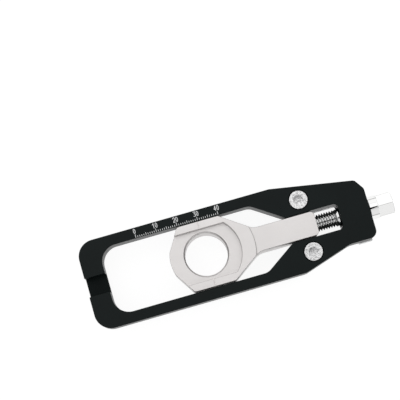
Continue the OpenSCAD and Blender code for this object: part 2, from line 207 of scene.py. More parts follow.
class CapScrewSizes(bpy.types.PropertyGroup):
    """Sizes of the two socket cap screws and their seats."""

    seat: length("Seat", "Height of the seat under the head", 6.9 * MM)
    shank: length("Shank radius", "Radius of the shank", 2.5 * MM)
    socket: length("Socket", "Size of the socket across its flats", 4 * MM)
    socket_depth: length("Socket depth", "Depth of the socket", 2.5 * MM)
    drill: share("Drill", "Width of the drill point, as a share of the socket's", 0.95)
    rim: length("Socket rim", "Width of the bevel round the socket", 0.12 * MM)
    foot: length("Foot bevel", "Bevel at the shank's foot and under the head", 0.3 * MM)
    # Below this depth the socket takes the painted shade
    bright: length("Bright depth", "Depth to which the socket keeps the head's finish", 0.0486 * MM)
    bevel: length("Head bevel", "Bevel round the top of the head", 0.3 * MM)
    knurl: length("Knurl depth", "Depth of the knurling on the head", 0.18 * MM)
    head_gap: length("Head room", "Room round the head in its counterbore", 0.2 * MM)
    shank_gap: length("Shank room", "Room round the shank in the plate", 0.25 * MM)
    thread_gap: length("Thread room", "Room round the shank in the rear block", 0.05 * MM)
    knurls: bpy.props.IntProperty(
        name="Knurls", description="Number of teeth round the head", default=36, min=12)


class BlockSizes(bpy.types.PropertyGroup):
    """Sizes of the block behind the plate."""

    shoulder: length("Shoulder", "Full width behind the cap screws", 5.5 * MM)
    half: length("Half width", "Half the width at the cap screws", 17.25 * MM)
    nose_half: length("Nose half width", "Half the width under the nose", 12.6 * MM)
    slot_half: length("Slot half width", "Half the slot for the tongue", 6.1 * MM)
    corner: length("Corner radius", "Radius of the block's corners", 1.5 * MM)
    lip: length("Lip length", "Length of the lip past the plate's edge", 6.5 * MM)
    lip_inset: length("Lip inset", "Stretch from the lip to the block's end", 0.5 * MM)
    lip_y: length("Lip edge", "Distance of the lip's edge from the screw", 14.5 * MM)
    lip_corner: length("Lip corner", "Radius of the lip's corners", 0.3 * MM)
    edge: length("Edge break", "Small chamfer on every machined edge", 0.2 * MM)


class Finishes(bpy.types.PropertyGroup):
    """Colours and surface finishes."""

    black: colour("Black anodising", "Colour of the plate", (0.0035, 0.0068, 0.0068))
    black_gloss: share("Black gloss", "Specular level of the plate", 0.16)
    black_rough: share("Black roughness", "Roughness of the plate", 0.36)
    silver: colour("Slider metal", "Colour of the slider", (0.878, 0.85, 0.84))
    # Darker tone of the slider's broken edges: painted shade and painted dark reflection
    edge_shade_tone: share("Edge tone", "Brightness of the slider's broken edges", 0.52)
    # Darker tone of the slider's upright sides: painted shade
    side_shade_tone: share("Side tone", "Brightness of the slider's upright sides", 0.76)
    # Darkening of the thread's flanks: painted shade and painted dark reflection
    flank_shade_tone: share("Flank tone", "Brightness of the thread's flanks", 0.07)
    silver_rough: share("Slider roughness", "Roughness of the slider", 0.4)
    steel: colour("Screw steel", "Colour of the adjusting screw", (0.95, 0.95, 0.945))
    steel_rough: share("Screw roughness", "Roughness of the screw", 0.14)
    zinc: colour("Zinc", "Colour of the cap screws", (0.98, 0.98, 0.985))
    flange_tone: share("Flange tone", "Brightness of the screw's flange", 0.92)
    flange_rough: share("Flange roughness", "Roughness of the flange, as a share of the screw's", 0.3)
    # Darkening of recessed faces and of the hex's broken edges: painted shade
    painted_shade_tone: share("Recess tone", "Brightness of recessed faces", 0.5)
    # Darkening of the cap screws' sockets: painted shade
    socket_shade_tone: share("Socket tone", "Brightness of the cap screws' sockets", 0.86)
    zinc_rough: share("Zinc roughness", "Roughness of the cap screws", 0.28)
    block: colour("Block metal", "Colour of the rear block", (0.92, 0.92, 0.92))
    marks: colour("Marks", "Colour of the scale", (0.86, 0.87, 0.87))


class StageSettings(bpy.types.PropertyGroup):
    """Camera, floor and light."""

    camera_at: point("Camera", "Place of the camera", (-8.8 * MM, -57.95 * MM, 699 * MM))
    camera_to: point("Aim", "What the camera looks at", (4.15 * MM, 25.33 * MM, 12 * MM))
    camera_roll: angle("Roll", "Turn of the part in the picture", 15.94)
    lens: bpy.props.FloatProperty(
        name="Lens", description="Focal length in millimetres", default=132.5, min=1.0)
    sky: share("Sky", "Strength of the even light from all round", 0.9, 4.0)
    sun: share("Sun", "Strength of the large soft lamp", 0.3, 10.0)
    floor_size: length("Floor", "Side of the floor", 6.0)


def corner_points(before, here, after):
    """Points of one rounded corner (x, y, radius) between its two neighbours."""
    at = Vector(here[:2])
    radius = here[2]
    if radius == 0:
        return [at]
    to_before = (Vector(before[:2]) - at).normalized()
    to_after = (Vector(after[:2]) - at).normalized()
    opening = to_before.angle(to_after)
    centre = at + (to_before + to_after).normalized() * radius / math.sin(opening / 2)
    arm = at + to_before * radius / math.tan(opening / 2) - centre
    way = math.copysign(1, to_before.y * to_after.x - to_before.x * to_after.y)
    sweep = math.pi - opening
    steps = max(2, math.ceil(math.degrees(sweep) / ARC_STEP))
    return [centre + Matrix.Rotation(way * sweep * k / steps, 2) @ arm
            for k in range(steps + 1)]


def rounded(corners):
    """An outline from corners (x, y, radius), each rounded by its own radius."""
    count = len(corners)
    return [p for i in range(count)
            for p in corner_points(corners[i - 1], corners[i], corners[(i + 1) % count])]


def both_sides(half):
    """Corners at +Y, followed by their mirror images in reverse order."""
    return half + [(x, -y, r) for x, y, r in reversed(half)]


def points_round(centre, steps, *radii):
    """Points round a centre, at each of the radii in turn."""
    points = []
    for k in range(steps):
        radius = radii[k % len(radii)]
        turn = math.tau * k / steps
        points.append((centre[0] + radius * math.cos(turn), centre[1] + radius * math.sin(turn)))
    return points


def hex_corner(flats):
    """Distance from a hex's middle to its corners."""
    return flats / 2 / math.cos(math.pi / 6)


def bridge(bm, lower, upper):
    """Faces between two closed rings of as many vertices."""
    for k in range(len(lower)):
        n = (k + 1) % len(lower)
        bm.faces.new((lower[k], lower[n], upper[n], upper[k]))


def weld(bm):
    """Makes points that coincide one and removes faces without area."""
    bmesh.ops.remove_doubles(bm, verts=bm.verts, dist=TIGHT)
    bmesh.ops.dissolve_degenerate(bm, edges=bm.edges, dist=TIGHT)


def object_from(bm, name):
    """A new object with outward normals."""
    weld(bm)
    bmesh.ops.recalc_face_normals(bm, faces=bm.faces)
    mesh = bpy.data.meshes.new(name)
    bm.to_mesh(mesh)
    bm.free()
    piece = bpy.data.objects.new(name, mesh)
    bpy.context.scene.collection.objects.link(piece)
    return piece


def stacked(name, layers):
    """A solid through outlines of as many points, each given with its height."""
    bm = bmesh.new()
    rings = [[bm.verts.new((p[0], p[1], z)) for p in outline] for outline, z in layers]
    for lower, upper in zip(rings, rings[1:]):
        bridge(bm, lower, upper)
    bm.faces.new(rings[0])
    bm.faces.new(rings[-1])
    return object_from(bm, name)


def prism(name, outline, low, high):
    """A straight solid on an outline."""
    return stacked(name, [(outline, low), (outline, high)])


def block_between(name, low, high):
    """A box between two corners."""
    x0, y0, z0 = low
    x1, y1, z1 = high
    return prism(name, [(x0, y0), (x1, y0), (x1, y1), (x0, y1)], z0, z1)


def turned_rings(bm, profile, place, steps=TURN_STEPS):
    """Adds a turned surface. The profile holds (distance along the axis, radius)."""
    rings = []
    for along, radius in profile:
        if radius == 0:
            rings.append([bm.verts.new(place(along, 0, 0))] * steps)
        else:
            rings.append([bm.verts.new(place(along, radius, math.tau * k / steps))
                          for k in range(steps)])
    for lower, upper in zip(rings, rings[1:]):
        for k in range(steps):
            n = (k + 1) % steps
            around = dict.fromkeys((lower[k], lower[n], upper[n], upper[k]))
            if len(around) > 2:
                bm.faces.new(tuple(around))


def along_x(along, radius, turn):
    """A point round the adjusting screw's axis."""
    return (along, radius * math.cos(turn), SCREW_Z + radius * math.sin(turn))


def along_z_at(x, y):
    """A function that gives points round an upright axis."""
    def place(along, radius, turn):
        return (x + radius * math.cos(turn), y + radius * math.sin(turn), along)
    return place


def turned(name, profile, place, steps=TURN_STEPS):
    """A turned solid."""
    bm = bmesh.new()
    turned_rings(bm, profile, place, steps)
    return object_from(bm, name)


def rod(name, start, end, radius, place):
    """A plain round solid."""
    return turned(name, [(start, 0), (start, radius), (end, radius), (end, 0)], place)


def applied(piece):
    """Applies the modifiers of a piece to its mesh."""
    shown = piece.evaluated_get(bpy.context.evaluated_depsgraph_get())
    mesh = bpy.data.meshes.new_from_object(shown)
    piece.modifiers.clear()
    old, piece.data = piece.data, mesh
    bpy.data.meshes.remove(old)
    mesh.name = piece.name


def combine(piece, tool, operation="DIFFERENCE", keep_finish=False):
    """Cuts, joins or intersects a piece with a tool, which is used up."""
    boolean = piece.modifiers.new("Boolean", "BOOLEAN")
    boolean.operation = operation
    boolean.material_mode = "TRANSFER" if keep_finish else "INDEX"
    boolean.solver = "EXACT"
    boolean.object = tool
    applied(piece)
    mesh = tool.data
    bpy.data.objects.remove(tool)
    bpy.data.meshes.remove(mesh)


def break_edges(piece, width, finish=-1):
    """A small bevel on every machined edge, with its own finish if one is numbered."""
    bevel = piece.modifiers.new("Bevel", "BEVEL")
    bevel.width = width
    bevel.segments = 2
    bevel.limit_method = "ANGLE"
    bevel.angle_limit = SHARP_ANGLE
    bevel.miter_outer = "MITER_ARC"
    bevel.use_clamp_overlap = False
    bevel.material = finish
    applied(piece)


def weigh_normals(piece):
    """Keeps the shading of broad faces flat right up to their broken edges."""
    weigh = piece.modifiers.new("Weighted normals", "WEIGHTED_NORMAL")
    weigh.mode = "FACE_AREA"
    weigh.weight = 80
    weigh.keep_sharp = True
    applied(piece)


def coat(piece, *finishes):
    """Gives a piece its materials, numbered from 0."""
    for finish in finishes:
        piece.data.materials.append(finish)


def finish_piece(piece, body, node):
    """Shades a piece and ties it to its body."""
    bm = bmesh.new()
    bm.from_mesh(piece.data)
    weld(bm)
    bm.to_mesh(piece.data)
    bm.free()
    piece.data.shade_smooth()
    piece.data.set_sharp_from_angle(angle=SHARP_ANGLE)
    weigh_normals(piece)
    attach(piece, body)
    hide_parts(node)


def tinted(base, factor):
    """A colour made lighter or darker."""
    return tuple(min(1.0, c * factor) for c in base)


class Wiring:
    """The nodes of a material or of the world, and calls that add to them."""

    def __init__(self, owner):
        owner.use_nodes = True
        self.nodes = owner.node_tree.nodes
        self.links = owner.node_tree.links

    def join(self, source, target):
        self.links.new(source, target)

    def add(self, kind, *inputs):
        """A new node, with its first inputs joined or set in order."""
        node = self.nodes.new(kind)
        for socket, value in zip(node.inputs, inputs):
            if isinstance(value, bpy.types.NodeSocket):
                self.join(value, socket)
            else:
                socket.default_value = value
        return node

    def math(self, operation, first, *others):
        """Works from left to right, or on one value where there is no other."""
        for other in others or (0,):
            node = self.add("ShaderNodeMath", first, other)
            node.operation = operation
            first = node.outputs[0]
        return first

    def smooth(self, value, low, high, to_low, to_high):
        """Maps a value from one range to another, with soft ends."""
        node = self.add("ShaderNodeMapRange", value, low, high, to_low, to_high)
        node.interpolation_type = "SMOOTHSTEP"
        return node.outputs["Result"]


class Shader(Wiring):
    """One node material, with a few calls for what the finishes share."""

    def __init__(self, name):
        self.material = bpy.data.materials.new(name)
        super().__init__(self.material)
        self.principled = self.nodes["Principled BSDF"]
        self.place = self.add("ShaderNodeTexCoord").outputs["Object"]

    def set(self, **values):
        """Sets sockets of the main shader by name, with spaces as underscores."""
        for name, value in values.items():
            self.principled.inputs[name.replace("_", " ")].default_value = value

    def noise(self, scale, stretch=(1, 1, 1), detail=3.0, distortion=0.0):
        """Noise with a scale in cycles per metre, stretched along the axes."""
        mapping = self.add("ShaderNodeMapping", self.place)
        mapping.inputs["Scale"].default_value = stretch
        noise = self.add("ShaderNodeTexNoise", mapping.outputs["Vector"])
        noise.inputs["Scale"].default_value = scale
        noise.inputs["Detail"].default_value = detail
        noise.inputs["Distortion"].default_value = distortion
        return noise.outputs["Fac"]

    def between(self, source, low, high, from_low=0.3, from_high=0.7):
        """Maps a noise to a range of values."""
        spread = self.add("ShaderNodeMapRange", source, from_low, from_high, low, high)
        return spread.outputs["Result"]

    def mottle(self, source, base, dark, light, from_low=0.3, from_high=0.7):
        """Varies the base colour between a darker and a lighter tint of one colour."""
        mix = self.add("ShaderNodeMix")
        mix.data_type = "RGBA"
        mix.inputs["A"].default_value = (*tinted(base, dark), 1)
        mix.inputs["B"].default_value = (*tinted(base, light), 1)
        self.join(self.between(source, 0, 1, from_low, from_high), mix.inputs["Factor"])
        self.join(mix.outputs["Result"], self.principled.inputs["Base Color"])

    def roughen(self, source, low, high):
        """Varies the roughness."""
        self.join(self.between(source, low, high), self.principled.inputs["Roughness"])

    def bump(self, source, height):
        """Raises the surface by a source times a height in metres."""
        bump = self.add("ShaderNodeBump")
        bump.inputs["Distance"].default_value = height
        self.join(source, bump.inputs["Height"])
        self.join(bump.outputs["Normal"], self.principled.inputs["Normal"])


def black_anodised(look, name="black_anodised", share_of_light=1.0):
    """Satin black anodising over a finely blasted surface."""
    shader = Shader(name)
    shader.set(Specular_IOR_Level=look.black_gloss * share_of_light, IOR=1.5)
    shader.mottle(shader.noise(60, detail=4), look.black, dark=0.86, light=1.16)
    grain = shader.noise(5200, detail=2)
    shader.roughen(grain, look.black_rough - 0.05, look.black_rough + 0.07)
    shader.bump(grain, 0.004 * MM)
    return shader.material


def slider_metal(look, name="slider_aluminium", share_of_light=1.0):
    """Fine satin aluminium with a faint grain along the slide."""
    shader = Shader(name)
    shader.set(Metallic=0.92)
    shader.mottle(shader.noise(45), tinted(look.silver, share_of_light), dark=0.97, light=1.03)
    grain = shader.noise(900, stretch=(0.25, 4, 4), detail=4)
    shader.roughen(grain, look.silver_rough - 0.05, look.silver_rough + 0.06)
    shader.bump(grain, 0.003 * MM)
    return shader.material


def screw_steel(look, name="screw_steel", share_of_light=1.0, share_of_rough=1.0):
    """Bright turned steel."""
    shader = Shader(name)
    shader.set(Metallic=1.0, Base_Color=(*tinted(look.steel, share_of_light), 1))
    lathe = shader.noise(700, stretch=(9, 0.6, 0.6))
    shader.roughen(lathe, share_of_rough * (look.steel_rough - 0.04),
                   share_of_rough * (look.steel_rough + 0.06))
    shader.bump(lathe, 0.002 * MM)
    return shader.material


def shaded_thread_flanks(look):
    """Dull, dark steel of the thread's flanks: painted shade and painted dark reflection between the
    teeth.
    """
    shader = Shader("shaded_thread_flanks")
    shader.set(Specular_IOR_Level=0.1, IOR=1.5, Roughness=0.5)
    shader.mottle(shader.noise(900), tinted(look.steel, look.flank_shade_tone), dark=0.7, light=1)
    return shader.material


def zinc_plate(look, name="cap_screw_zinc", share_of_light=1.0):
    """Zinc plating, slightly mottled."""
    shader = Shader(name)
    shader.set(Metallic=1.0)
    zinc = tinted(look.zinc, share_of_light)
    spots = shader.noise(1500, detail=5, distortion=0.6)
    shader.mottle(spots, zinc, dark=0.5, light=1.02, from_low=0.36, from_high=0.56)
    shader.roughen(spots, look.zinc_rough + 0.12, look.zinc_rough - 0.05)
    shader.bump(spots, 0.012 * MM)
    return shader.material


def block_metal(look):
    """Milled aluminium."""
    shader = Shader("block_aluminium")
    shader.set(Metallic=0.25)
    shader.mottle(shader.noise(80), look.block, dark=0.95, light=1.05)
    milling = shader.noise(600, stretch=(0.3, 5, 5))
    shader.roughen(milling, 0.34, 0.5)
    shader.bump(milling, 0.004 * MM)
    return shader.material


def marking_white(look):
    """Matt white marking with a slightly uneven tone."""
    shader = Shader("marking_white")
    shader.set(Specular_IOR_Level=0.2, Roughness=0.75)
    shader.mottle(shader.noise(2600), look.marks, dark=0.86, light=1)
    return shader.material


class AdjusterOperator(bpy.types.Operator):
    """What the operators share."""

    bl_options = {"REGISTER", "UNDO"}


class CHAIN_ADJUSTER_OT_plate(AdjusterOperator):
    """Machines the black plate with its window, groove and seats"""

    bl_idname = "chain_adjuster.plate"
    bl_label = "Plate"

    def outline(self, plate):
        right = PLATE_HIGH.x
        fall = (right - CAP_X + plate.upper_shoulder) * math.tan(plate.slope)
        return rounded([
            (PLATE_LOW.x, PLATE_LOW.y, plate.corner),
            (CAP_X - plate.lower_shoulder, PLATE_LOW.y, plate.shoulder),
            (right - plate.nose_run, -plate.nose_y, plate.shoulder),
            (right, -plate.nose_y, plate.lower_nose),
            (right, PLATE_HIGH.y - fall - plate.cut_height, plate.cut_corner),
            (right - plate.cut_length,
             PLATE_HIGH.y - fall + plate.cut_length * math.tan(plate.slope), plate.cut_corner),
            (CAP_X - plate.upper_shoulder, PLATE_HIGH.y, plate.shoulder),
            (PLATE_LOW.x, PLATE_HIGH.y, plate.corner),
        ])

    def window(self, plate, small):
        narrow = (plate.window_half - plate.slot_half) / math.tan(plate.funnel)
        return rounded(both_sides([
            (PLATE_LOW.x + plate.end_wall, plate.window_half, plate.window_corner),
            (plate.bend_x, plate.window_half, plate.bend),
            (plate.bend_x + narrow, plate.slot_half, small),
            (PLATE_HIGH.x - plate.nose_wall, plate.slot_half, plate.slot_corner),
        ]))

    def cap_seat(self, caps, side):
        hole = caps.shank + caps.shank_gap
        counterbore = (CAP_HIGH.x - CAP_LOW.x) / 2 + caps.head_gap
        return turned("cap_seat", [
            (PLATE_LOW.z - PAST, 0), (PLATE_LOW.z - PAST, hole), (caps.seat, hole),
            (caps.seat, counterbore), (PLATE_HIGH.z + PAST, counterbore), (PLATE_HIGH.z + PAST, 0),
        ], along_z_at(CAP_X, side * CAP_Y))

    def execute(self, context):
        kit = context.scene.chain_adjuster
        plate = kit.plate
        piece = prism("plate", self.outline(plate), PLATE_LOW.z, PLATE_HIGH.z)
        window = self.window(plate, kit.slider.small)
        combine(piece, prism("window", window, PLATE_LOW.z - PAST, PLATE_HIGH.z + PAST))
        combine(piece, block_between(
            "end_groove",
            (PLATE_LOW.x - PAST, -plate.groove_half, PLATE_HIGH.z - plate.groove_depth),
            (PLATE_LOW.x + plate.end_wall + PAST, plate.groove_half, PLATE_HIGH.z + PAST)))
        for side in (-1, 1):
            combine(piece, self.cap_seat(kit.caps, side))
        combine(piece, rod("shank_bore", PLATE_HIGH.x - plate.nose_wall - PAST, PLATE_HIGH.x + PAST,
                           kit.screw.shank + kit.screw.bore_gap, along_x))
        break_edges(piece, plate.edge)
        look = kit.finishes
        # The end groove's floor and the counterbore floors take a darker copy of the black: painted
        # shade in the recesses
        coat(piece, black_anodised(look), black_anodised(look, "black_painted_shade", look.painted_shade_tone))
        for face in piece.data.polygons:
            recessed = face.normal.z > LEVEL and face.center.z < PLATE_HIGH.z - 2 * plate.edge
            face.material_index = int(recessed)
        finish_piece(piece, "plate_assembly", "body_plate")
        return {"FINISHED"}


class CHAIN_ADJUSTER_OT_slider(AdjusterOperator):
    """Machines the sliding axle block with its pocketed head and tongue"""

    bl_idname = "chain_adjuster.slider"
    bl_label = "Slider"

    # Numbers of the slider's second and third finish: painted shade on the broken edges and on the
    # upright sides
    SHADED_EDGES = 1
    SHADED_SIDES = 2

    def outline(self, slider):
        reach = -SLIDER_LOW.x
        half = SLIDER_HIGH.y
        turn = math.asin(slider.back_half / reach)
        steps = math.ceil(math.degrees(turn) / ARC_STEP)
        back = [(-reach * math.cos(turn * k / steps), reach * math.sin(turn * k / steps), 0)
                for k in range(steps, -steps - 1, -1)]
        neck_x = slider.flat_half + (half - slider.tongue_half) / math.tan(slider.slope)
        side = [
            (slider.flat_half, half, slider.small),
            (neck_x, slider.tongue_half, slider.neck),
            (SLIDER_HIGH.x, slider.tongue_half, slider.tongue_end),
        ]
        flat_start = (-slider.flat_half, half, slider.back_corner)
        lower = [(x, -y, r) for x, y, r in [flat_start, *side]]
        return rounded([*back, *lower, *reversed(side), flat_start])

    def pocket(self, slider):
        """The pocket's outline: round towards the tongue and open at the back."""
        start = math.asin(slider.pocket_half / slider.pocket)
        steps = math.ceil(math.degrees(2 * start) / ARC_STEP)
        arc = [(slider.pocket * math.cos(a), slider.pocket * math.sin(a))
               for a in (start * (2 * k / steps - 1) for k in range(steps + 1))]
        open_end = SLIDER_LOW.x - 2 * PAST
        return [(open_end, -slider.pocket_half), *arc, (open_end, slider.pocket_half)]

    def tongue_relief(self, slider):
        """What is cut away above the tongue: all that lies past the step's arc."""
        steps = TURN_STEPS // 2
        far = SLIDER_HIGH.x + PAST
        wide = SLIDER_HIGH.y + PAST
        quarter = math.pi / 4
        arc = [(slider.step_radius * math.cos(a), slider.step_radius * math.sin(a))
               for a in (quarter * (1 - 2 * k / steps) for k in range(steps + 1))]
        return [(far, -wide), (far, wide), *arc]

    def execute(self, context):
        kit = context.scene.chain_adjuster
        slider = kit.slider
        top = SLIDER_HIGH.z
        floor = top - slider.pocket_depth
        flare = slider.bore + slider.bore_edge + PAST
        piece = prism("slider_block", self.outline(slider), SLIDER_LOW.z, top)
        combine(piece, prism("pocket", self.pocket(slider), floor, top + PAST))
        combine(piece, prism("relief", self.tongue_relief(slider), top - slider.step, top + PAST))
        combine(piece, turned("bore", [
            (SLIDER_LOW.z - PAST, 0), (SLIDER_LOW.z - PAST, flare),
            (SLIDER_LOW.z + slider.bore_edge, slider.bore), (floor - slider.bore_edge, slider.bore),
            (floor + PAST, flare), (floor + PAST, 0)], along_z_at(0, 0), 2 * TURN_STEPS))
        combine(piece, rod("tapped_hole", slider.hole_end, SLIDER_HIGH.x + PAST, slider.hole, along_x))
        look = kit.finishes
        metal = slider_metal(look)
        coat(piece, metal, slider_metal(look, "slider_shaded_edges", look.edge_shade_tone),
             slider_metal(look, "slider_shaded_sides", look.side_shade_tone))
        # Upright sides take a darker copy of the metal: painted shade
        for face in piece.data.polygons:
            face.material_index = self.SHADED_SIDES if abs(face.normal.z) < UPRIGHT else 0
        # The bevels take a darker copy of the metal: painted shade and painted dark reflection on the
        # edges
        break_edges(piece, slider.edge, self.SHADED_EDGES)
        for side in (-1, 1):
            combine(piece, self.index_line(slider, side, metal), keep_finish=True)
        finish_piece(piece, "axle_slider", "slider")
        return {"FINISHED"}

    def index_line(self, slider, side, metal):
        """The cutter of one index line, with sloping flanks."""
        top = SLIDER_HIGH.z
        middle = side * (slider.pocket_half + SLIDER_HIGH.y) / 2
        reach = 2 * MM

        def strip(half):
            return [(-half, middle - reach), (half, middle - reach),
                    (half, middle + reach), (-half, middle + reach)]

        flank = slider.index / 4
        cutter = stacked("index_line", [
            (strip(slider.index / 2 - flank), top - slider.index_depth),
            (strip(slider.index / 2 + flank), top + slider.index_depth)])
        coat(cutter, metal)
        return cutter


class CHAIN_ADJUSTER_OT_screw(AdjusterOperator):
    """Turns the adjusting screw with its true helical thread, and its collar"""

    bl_idname = "chain_adjuster.screw"
    bl_label = "Adjusting screw"

    # Points of one turn of thread: share of the pitch, and 0 at the root or 1 at the crest
    TOOTH = [(0.0, 0), (0.25, 0), (0.5625, 1), (0.6875, 1)]
    # Steps round the thread
    STEPS = 72
    # Depth of the thread, and length of its run-out, as shares of the pitch
    DEPTH = 0.6134
    RUN_OUT = 1.2
    # Numbers of the screw's further finishes, after the bright steel; the flanks have 1. The flanks and
    # the hex's corners are darkened with painted shade
    HEX_SHADED_CORNERS = 2
    FLANGE = 3

    def thread(self, bm, screw, start, end):
        """Adds the helical thread between two places along X."""
        root = screw.shank - self.DEPTH * screw.pitch
        slope = (screw.shank - root) / (self.RUN_OUT * screw.pitch)
        teeth = len(self.TOOTH)
        turns = math.ceil((end - start) / screw.pitch) + 1
        rows = []
        for turn in range(-1, turns + 1):
            for share_of_pitch, crest in self.TOOTH:
                row = []
                for step in range(self.STEPS):
                    x = start + screw.pitch * (turn + share_of_pitch + step / self.STEPS)
                    x = min(max(x, start), end)
                    radius = screw.shank if crest else root
                    radius = min(radius, root + (x - start))
                    radius = max(radius, screw.shank - (end - x) * slope)
                    row.append(bm.verts.new(along_x(x, radius, math.tau * step / self.STEPS)))
                rows.append(row)
        for k in range(len(rows) - teeth - 1):
            strip = [bm.faces.new((rows[k][step], rows[k][step + 1],
                                   rows[k + 1][step + 1], rows[k + 1][step]))
                     for step in range(self.STEPS - 1)]
            strip.append(bm.faces.new((rows[k][-1], rows[k + teeth][0],
                                       rows[k + teeth + 1][0], rows[k + 1][-1])))
            # Every other strip is a flank of the tooth, darkened with painted shade
            for face in strip:
                face.material_index = k % 2
        return root

    def execute(self, context):
        kit = context.scene.chain_adjuster
        screw = kit.screw
        start, end = SCREW_LOW.x, COLLAR_LOW.x - screw.thread_gap
        flange_x = PLATE_HIGH.x + screw.end_play
        hex_x = flange_x + screw.flange_run
        bm = bmesh.new()
        root = self.thread(bm, screw, start, end)
        turned_rings(bm, [(start, 0), (start, root)], along_x, self.STEPS)
        turned_rings(bm, [
            (end, screw.shank), (COLLAR_LOW.x, screw.shank), (COLLAR_LOW.x, screw.groove),
            (COLLAR_HIGH.x, screw.groove), (COLLAR_HIGH.x, screw.shank), (flange_x, screw.shank),
            (flange_x, screw.flange - screw.edge), (flange_x + screw.edge, screw.flange),
            (hex_x - screw.edge, screw.flange), (hex_x, screw.flange - screw.edge), (hex_x, 0),
        ], along_x, self.STEPS)
        for face in bm.faces:
            if face.calc_center_median().x > flange_x:
                face.material_index = self.FLANGE
        piece = object_from(bm, "adjusting_screw")
        look = kit.finishes
        bright = screw_steel(look)
        # The hex's broken edges take a darker copy of the steel: painted shade
        finishes = (bright, shaded_thread_flanks(look),
                    screw_steel(look, "hex_shaded_corners", look.painted_shade_tone),
                    screw_steel(look, "flange_steel", look.flange_tone, look.flange_rough))
        coat(piece, *finishes)
        combine(piece, self.hex_head(screw, hex_x, finishes), "UNION")
        finish_piece(piece, "screw_assembly", "adjuster_screw")
        self.collar(kit, bright)
        return {"FINISHED"}

    def hex_head(self, screw, start, finishes):
        """The hex with a corner near the top and a chamfered end."""
        corner = hex_corner(screw.hex_flats)
        inside = PAST / 2
        bm = bmesh.new()
        first = math.pi / 2 + screw.hex_turn
        rings = [[bm.verts.new(along_x(x, corner, first + math.tau * k / 6)) for k in range(6)]
                 for x in (start - inside, SCREW_HIGH.x)]
        bridge(bm, *rings)
        bm.faces.new(rings[0])
        bm.faces.new(rings[1])
        head = object_from(bm, "hex_head")
        slope = screw.hex_chamfer / 2
        coat(head, *finishes)
        break_edges(head, screw.edge / 2, self.HEX_SHADED_CORNERS)
        combine(head, turned("hex_end", [
            (start - PAST, 0), (start - PAST, corner + PAST), (SCREW_HIGH.x - slope, corner + PAST),
            (SCREW_HIGH.x - slope, corner), (SCREW_HIGH.x, corner - screw.hex_chamfer),
            (SCREW_HIGH.x, 0)], along_x), "INTERSECT")
        return head

    def collar(self, kit, material):
        """The spring collar in the groove beside the slot's end."""
        screw = kit.screw
        inner = screw.groove + screw.collar_gap
        bevel = screw.collar_bevel
        x0, x1 = COLLAR_LOW.x, COLLAR_HIGH.x
        piece = turned("collar", [
            (x0, inner), (x0, screw.collar - screw.edge / 2), (x0 + screw.edge / 2, screw.collar),
            (x1 - bevel, screw.collar), (x1, screw.collar - bevel), (x1, inner), (x0, inner),
        ], along_x)
        combine(piece, block_between(
            "mouth", (x0 - PAST, -screw.mouth / 2, SCREW_Z - screw.collar - PAST),
            (x1 + PAST, screw.mouth / 2, SCREW_Z)))
        coat(piece, material)
        finish_piece(piece, "screw_assembly", "retaining_collar")


class CHAIN_ADJUSTER_OT_cap_screws(AdjusterOperator):
    """Makes the two socket cap screws with knurled heads"""

    bl_idname = "chain_adjuster.cap_screws"
    bl_label = "Cap screws"

    # The head's upper edge: how far in and how far down, as shares of the bevel
    EDGE = [(0, 1.2), (0, 0.5), (0.15, 0.15), (0.5, 0)]
    # Where the knurling ends below the top, as a share of the bevel
    KNURL_END = 2

    def cap_screw(self, name, kit, side, finishes):
        caps = kit.caps
        at = (CAP_X, side * CAP_Y)
        radius = (CAP_HIGH.x - CAP_LOW.x) / 2
        top = CAP_HIGH.z
        inner = radius - caps.knurl
        foot = caps.foot
        bevel = caps.bevel

        def ring(*radii):
            return points_round(at, 2 * caps.knurls, *radii)

        piece = stacked(name, [
            (ring(caps.shank - foot), CAP_LOW.z), (ring(caps.shank), CAP_LOW.z + foot),
            (ring(caps.shank), caps.seat), (ring(inner), caps.seat), (ring(inner), caps.seat + foot / 2),
            (ring(radius, inner), caps.seat + foot),
            (ring(radius, inner), top - self.KNURL_END * bevel),
            *((ring(inner - inward * bevel), top - down * bevel) for inward, down in self.EDGE),
        ])
        corner = hex_corner(caps.socket)
        combine(piece, prism("socket", points_round(at, 6, corner),
                             top - caps.socket_depth, top + PAST))
        drill = caps.drill * caps.socket / 2
        combine(piece, turned("drill_point", [
            (top - caps.socket_depth - drill / 2, 0), (top - caps.socket_depth, drill),
            (top - PAST, drill), (top - PAST, 0)], along_z_at(*at)))
        rim = corner + caps.rim
        combine(piece, turned("socket_rim", [
            (top - rim / 2, 0), (top, rim), (top + PAST, rim + 2 * PAST), (top + PAST, 0)],
            along_z_at(*at)))
        coat(piece, *finishes)
        # Socket walls, drill point and rim bevel take a darker zinc: painted shade in the socket
        for face in piece.data.polygons:
            off_axis = (face.center.xy - Vector(at)).length
            in_socket_shade = caps.seat < face.center.z < top - caps.bright
            face.material_index = int(in_socket_shade and off_axis < rim)
        finish_piece(piece, "plate_assembly", name)

    def execute(self, context):
        kit = context.scene.chain_adjuster
        look = kit.finishes
        finishes = (zinc_plate(look), zinc_plate(look, "socket_painted_shade", look.socket_shade_tone))
        self.cap_screw("cap_screw_upper", kit, 1, finishes)
        self.cap_screw("cap_screw_lower", kit, -1, finishes)
        return {"FINISHED"}


